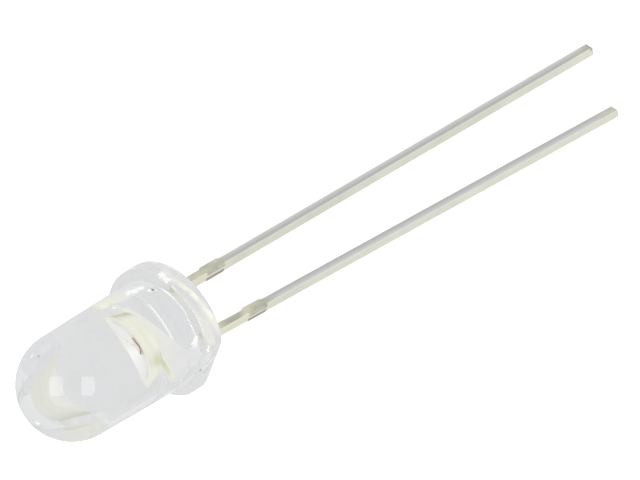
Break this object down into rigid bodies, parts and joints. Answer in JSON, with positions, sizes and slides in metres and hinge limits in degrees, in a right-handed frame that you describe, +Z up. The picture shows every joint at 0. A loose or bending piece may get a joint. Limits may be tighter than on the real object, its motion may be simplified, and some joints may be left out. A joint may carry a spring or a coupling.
{
  "type": "through hole led",
  "caption": "Clear domed light-emitting diode with a flanged epoxy body and long square leads for through-hole mounting.",
  "frame": {"origin": "centre of the bounding box on the surface that the part lies on", "axes": "+X from the dome to the lead tips, +Y towards the anode lead, +Z up, as the loose part lies"},
  "size_m": [0.0356, 0.0056, 0.0059],
  "materials": {
    "clear_epoxy": "water-clear, moulded smooth",
    "tinned_lead": "tin-plated steel, satin, sheared edges",
    "chip_body": "sawn semiconductor",
    "silver_glue": "matt silver-filled glue",
    "gold_wire": "drawn gold wire"
  },
  "bodies": {
    "root": {"lens": "clear_epoxy", "anode_lead": "tinned_lead", "cathode_lead": "tinned_lead", "led_chip": "chip_body", "die_attach": "silver_glue", "bond_wire": "gold_wire"}
  },
  "joints": []
}
